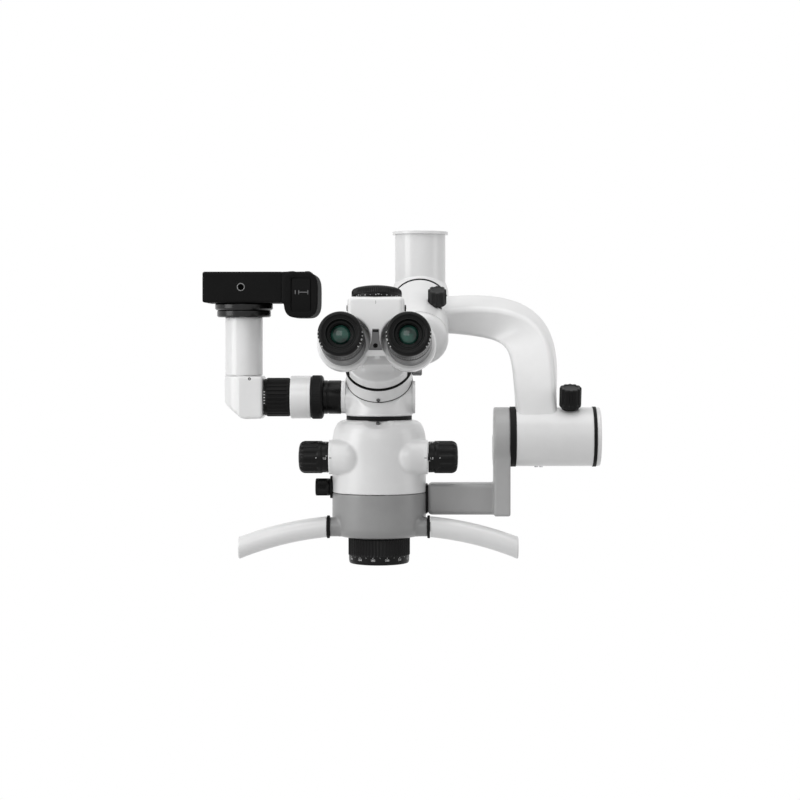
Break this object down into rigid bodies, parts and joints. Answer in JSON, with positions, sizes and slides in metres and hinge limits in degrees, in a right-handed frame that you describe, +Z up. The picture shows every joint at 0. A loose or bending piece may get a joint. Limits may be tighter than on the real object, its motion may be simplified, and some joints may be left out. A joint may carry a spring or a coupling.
{
  "type": "surgical microscope",
  "caption": "Binocular operating microscope head on a curved suspension arm, with roll and tilt joints, zoom pod, beam splitter, photo adapter and mirrorless camera",
  "frame": {"origin": "centre of the suspension tube's top face, where the arm's pin enters", "axes": "+Z up along the tube, +X to the viewer's right, -Y toward the viewer and the eyepieces"},
  "size_m": [0.4144, 0.2992, 0.3546],
  "materials": {
    "white_paint": "satin white enamel",
    "ocular_paint": "satin white and grey enamel",
    "grey_paint": "satin grey enamel",
    "black_rubber": "matte black seal",
    "black_plastic": "satin black moulded",
    "black_anodised": "black anodised",
    "steel": "turned steel",
    "bronze": "bearing bronze",
    "aluminium": "machined",
    "clear_glass": "polished",
    "coated_glass": "green coated",
    "camera_plastic": "fine textured black",
    "screen_glass": "glossy black"
  },
  "bodies": {
    "root": {"suspension_tube": "white_paint", "roll_spindle": "steel", "roll_gasket": "black_rubber", "roll_nut": "steel"},
    "swing_arm": {"roll_housing": "white_paint", "joint_bushes": "bronze", "roll_cap": "white_paint", "brake_shoes": "bronze", "curved_arm": "white_paint", "tilt_housing": "white_paint", "tilt_seam_ring": "black_rubber", "tilt_cap": "white_paint", "tilt_set_screws": "steel"},
    "roll_knob": {"roll_knob": "black_plastic"},
    "tilt_knob": {"tilt_knob": "black_plastic"},
    "head": {"tilt_spindle": "steel", "tilt_gasket": "black_rubber", "tilt_nut": "steel", "l_bracket": "grey_paint", "pod_upper_shell": "white_paint", "pod_lower_shell": "grey_paint", "pod_chassis": "aluminium", "pod_ring": "black_rubber", "led_module": "aluminium", "zoom_bearings": "aluminium", "pod_collars": "black_plastic", "beam_splitter": "white_paint", "head_optics": "clear_glass", "port_caps": "white_paint", "dovetail_ring": "white_paint", "dovetail_gasket": "black_rubber", "knuckle": "white_paint", "lock_screw": "steel", "adapter_rings": "black_anodised", "photo_tube": "white_paint", "camera_body": "camera_plastic"},
    "zoom_drum": {"zoom_drum": "aluminium", "drum_lenses": "clear_glass", "zoom_knobs": "black_plastic"},
    "light_knob": {"light_knob": "black_plastic"},
    "handle_left": {"handle_left": "white_paint"},
    "handle_right": {"handle_right": "white_paint"},
    "focus_ring": {"focus_ring": "black_plastic"},
    "objective_cell": {"objective_cell": "aluminium", "objective_lens": "clear_glass"},
    "thumb_screw": {"thumb_screw": "steel"},
    "binocular": {"hinge_pin": "steel", "binocular_housing": "white_paint"},
    "pd_knob": {"pd_knob": "black_plastic"},
    "ocular_left": {"ocular_left": "ocular_paint"},
    "ocular_right": {"ocular_right": "ocular_paint"},
    "eyepiece_left": {"eyepiece_left": "black_plastic", "eye_lens_left": "coated_glass"},
    "eyepiece_right": {"eyepiece_right": "black_plastic", "eye_lens_right": "coated_glass"},
    "coupling_nut": {"coupling_nut": "black_anodised"},
    "rib_ring": {"rib_ring": "black_plastic"},
    "camera_screen": {"camera_screen": "screen_glass"},
    "shutter_button": {"shutter_button": "steel"},
    "battery_door": {"battery_door": "camera_plastic"}
  },
  "joints": [
    {"name": "roll_swing", "type": "hinge", "parent": "root", "child": "swing_arm", "pos_m": [0, -0.02004, -0.08066], "axis": [0, -0.8829, -0.4695], "range_deg": [-25, 25]},
    {"name": "roll_brake", "type": "hinge", "parent": "swing_arm", "child": "roll_knob", "pos_m": [0.019, -0.06419, -0.10413], "axis": [0, -0.4695, 0.8829], "range_deg": [-90, 90]},
    {"name": "tilt_brake", "type": "hinge", "parent": "swing_arm", "child": "tilt_knob", "pos_m": [0.1582, -0.115, -0.222], "axis": [0, -0.342, 0.9397], "range_deg": [-90, 90]},
    {"name": "head_tilt", "type": "hinge", "parent": "swing_arm", "child": "head", "pos_m": [0.0954, -0.115, -0.222], "axis": [1, 0, 0], "range_deg": [-5, 60]},
    {"name": "zoom_turn", "type": "hinge", "parent": "head", "child": "zoom_drum", "pos_m": [-0.042, -0.14, -0.242], "axis": [1, 0, 0], "continuous": true},
    {"name": "light_turn", "type": "hinge", "parent": "head", "child": "light_knob", "pos_m": [-0.0912, -0.115, -0.275], "axis": [-1, 0, 0], "range_deg": [0, 300]},
    {"name": "handle_left_swing", "type": "hinge", "parent": "head", "child": "handle_left", "pos_m": [-0.042, -0.135, -0.315], "axis": [1, 0, 0], "range_deg": [-30, 30]},
    {"name": "handle_right_swing", "type": "hinge", "parent": "head", "child": "handle_right", "pos_m": [-0.042, -0.135, -0.315], "axis": [1, 0, 0], "range_deg": [-30, 30]},
    {"name": "focus_turn", "type": "hinge", "parent": "head", "child": "focus_ring", "pos_m": [-0.042, -0.115, -0.34], "axis": [0, 0, 1], "range_deg": [-151, 151]},
    {"name": "objective_travel", "type": "slide", "parent": "head", "child": "objective_cell", "axis": [0, 0, 1], "range_m": [-0.005, 0.005]},
    {"name": "dovetail_clamp", "type": "hinge", "parent": "head", "child": "thumb_screw", "pos_m": [-0.042, -0.12205, -0.15395], "axis": [1, 0, 0], "range_deg": [-180, 180]},
    {"name": "binocular_incline", "type": "hinge", "parent": "head", "child": "binocular", "pos_m": [-0.042, -0.15156, -0.12444], "axis": [1, 0, 0], "range_deg": [-60, 30]},
    {"name": "pupil_turn", "type": "hinge", "parent": "binocular", "child": "pd_knob", "pos_m": [-0.042, -0.19554, -0.08046], "axis": [0, 0.1478, 0.989], "range_deg": [-99.1, 127.8]},
    {"name": "ocular_left_slide", "type": "slide", "parent": "binocular", "child": "ocular_left", "axis": [1, 0, 0], "range_m": [-0.00415, 0.00535]},
    {"name": "ocular_right_slide", "type": "slide", "parent": "binocular", "child": "ocular_right", "axis": [1, 0, 0], "range_m": [-0.00535, 0.00415]},
    {"name": "diopter_left", "type": "hinge", "parent": "ocular_left", "child": "eyepiece_left", "pos_m": [-0.07535, -0.23165, -0.11915], "axis": [0, -0.989, 0.1478], "range_deg": [-90, 90]},
    {"name": "diopter_right", "type": "hinge", "parent": "ocular_right", "child": "eyepiece_right", "pos_m": [-0.00865, -0.23165, -0.11915], "axis": [0, -0.989, 0.1478], "range_deg": [-90, 90]},
    {"name": "nut_turn", "type": "hinge", "parent": "head", "child": "coupling_nut", "pos_m": [-0.107, -0.115, -0.1804], "axis": [1, 0, 0], "range_deg": [-180, 180]},
    {"name": "photo_focus", "type": "hinge", "parent": "head", "child": "rib_ring", "pos_m": [-0.149, -0.115, -0.1804], "axis": [1, 0, 0], "range_deg": [-60, 60]},
    {"name": "screen_tilt", "type": "hinge", "parent": "head", "child": "camera_screen", "pos_m": [-0.1832, -0.0918, -0.0516], "axis": [1, 0, 0], "range_deg": [-80, 0]},
    {"name": "shutter_press", "type": "slide", "parent": "head", "child": "shutter_button", "axis": [0, -1, 0], "range_m": [0, 0.0012]},
    {"name": "battery_door_open", "type": "hinge", "parent": "head", "child": "battery_door", "pos_m": [-0.1307, -0.147, -0.0736], "axis": [0, 0, -1], "range_deg": [0, 95]}
  ],
  "couplings": [
    {"joint": "focus_turn", "follows": "objective_travel", "rad_per_m": 526.32},
    {"joint": "ocular_right_slide", "follows": "ocular_left_slide", "ratio": -1},
    {"joint": "pupil_turn", "follows": "ocular_left_slide", "rad_per_m": 416.67}
  ]
}
